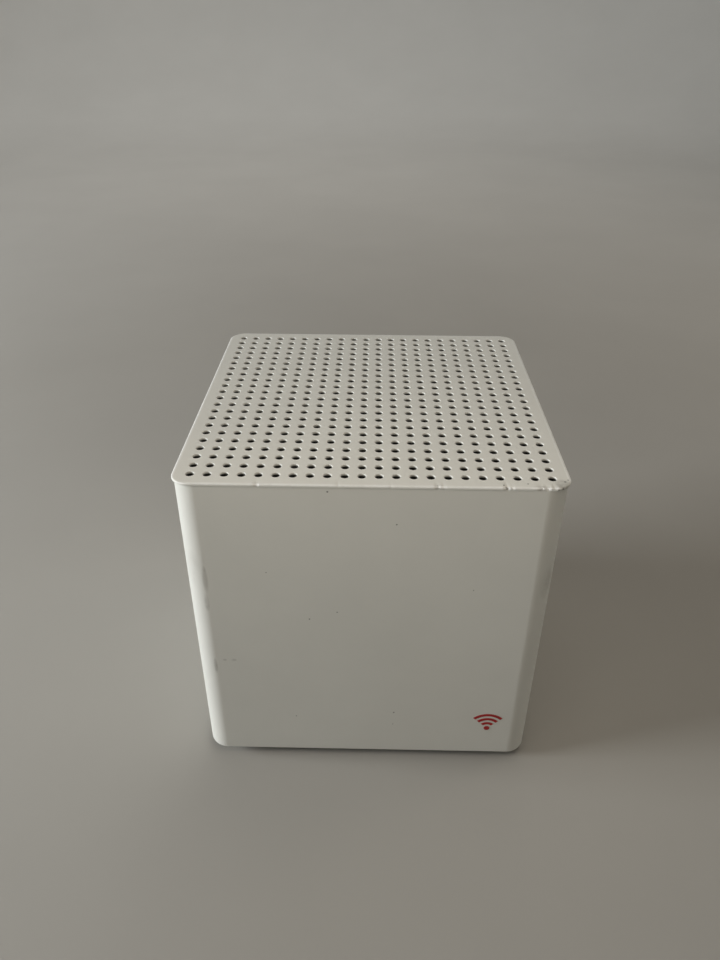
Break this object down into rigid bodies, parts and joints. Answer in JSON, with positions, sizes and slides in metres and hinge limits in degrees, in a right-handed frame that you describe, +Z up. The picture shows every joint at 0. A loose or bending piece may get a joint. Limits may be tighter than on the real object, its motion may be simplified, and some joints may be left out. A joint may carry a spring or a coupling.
{
  "type": "mesh wifi node",
  "caption": "Cube-shaped wireless network node with a perforated top, fan-cooled inner frame, rear socket panel and push buttons.",
  "frame": {"origin": "on the resting surface, under the middle of the cube", "axes": "+Z up, +Y towards the side with the sockets, +X to the right when seen from the front (-Y) side"},
  "size_m": [0.139, 0.139, 0.1417],
  "materials": {
    "sleeve": "satin",
    "top_cover": "satin",
    "front_mark": "satin",
    "base_plate": "matte",
    "rubber": "matte",
    "screw_steel": "satin",
    "label": "satin",
    "rear_panel": "matte",
    "panel_marks": "matte",
    "chassis": "matte",
    "board": "satin",
    "chip": "matte",
    "tin_can": "satin",
    "power_parts": "satin",
    "gold_contact": "polished",
    "thermal_pad": "matte",
    "heat_sink": "satin",
    "socket_plastic": "matte",
    "switch_plastic": "matte",
    "button_white": "satin",
    "fan_plastic": "satin",
    "magnet": "matte",
    "shaft_steel": "polished",
    "bearing_bronze": "satin",
    "winding": "satin",
    "lead_black": "satin",
    "plug_ivory": "satin",
    "antenna_board": "satin",
    "coax_grey": "satin",
    "led_white": "satin",
    "light_guide": "clear"
  },
  "bodies": {
    "housing": {"sleeve": "sleeve", "top_cover": "top_cover", "front_mark": "front_mark", "base_plate": "base_plate", "rubber_feet": "rubber", "base_screws": "screw_steel", "rating_label": "label", "rear_panel": "rear_panel", "panel_marks": "panel_marks", "panel_screws": "screw_steel", "chassis": "chassis", "chassis_screws": "screw_steel", "main_board": "board", "board_screws": "screw_steel", "processor": "chip", "memory_chips": "chip", "shield_cans": "tin_can", "power_parts": "power_parts", "coax_sockets": "gold_contact", "processor_pad": "thermal_pad", "radio_pads": "thermal_pad", "heat_sink": "heat_sink", "radio_heat_sink": "heat_sink", "heat_sink_screws": "screw_steel", "lan_contacts": "gold_contact", "dc_jack": "socket_plastic", "dc_pin": "shaft_steel", "power_switch": "switch_plastic", "pair_switch": "switch_plastic", "reset_switch": "switch_plastic", "fan_frame": "fan_plastic", "fan_bearing": "bearing_bronze", "fan_stator": "winding", "fan_screws": "screw_steel", "fan_lead": "lead_black", "fan_plug": "plug_ivory", "status_led": "led_white", "light_guide": "light_guide", "lan_shield_1": "tin_can", "lan_jack_1": "socket_plastic", "lan_shield_2": "tin_can", "lan_jack_2": "socket_plastic", "lan_shield_3": "tin_can", "lan_jack_3": "socket_plastic", "antenna_left": "antenna_board", "antenna_cable_left": "coax_grey", "antenna_right": "antenna_board", "antenna_cable_right": "coax_grey", "antenna_front": "antenna_board", "antenna_cable_front": "coax_grey", "antenna_rear": "antenna_board", "antenna_cable_rear": "coax_grey"},
    "fan_rotor": {"fan_rotor": "fan_plastic", "fan_magnet": "magnet", "fan_shaft": "shaft_steel"},
    "power_button": {"power_button": "button_white"},
    "pair_button": {"pair_button": "button_white"},
    "reset_button": {"reset_button": "button_white"}
  },
  "joints": [
    {"name": "fan_spin", "type": "hinge", "parent": "housing", "child": "fan_rotor", "pos_m": [0, 0, 0.0153], "axis": [0, 0, 1], "continuous": true},
    {"name": "power_press", "type": "slide", "parent": "housing", "child": "power_button", "axis": [0, -1, 0], "range_m": [0, 0.0015], "stiffness_N_per_m": 900},
    {"name": "pair_press", "type": "slide", "parent": "housing", "child": "pair_button", "axis": [0, -1, 0], "range_m": [0, 0.0006], "stiffness_N_per_m": 1500},
    {"name": "reset_press", "type": "slide", "parent": "housing", "child": "reset_button", "axis": [0, -1, 0], "range_m": [0, 0.0006], "stiffness_N_per_m": 1500}
  ]
}
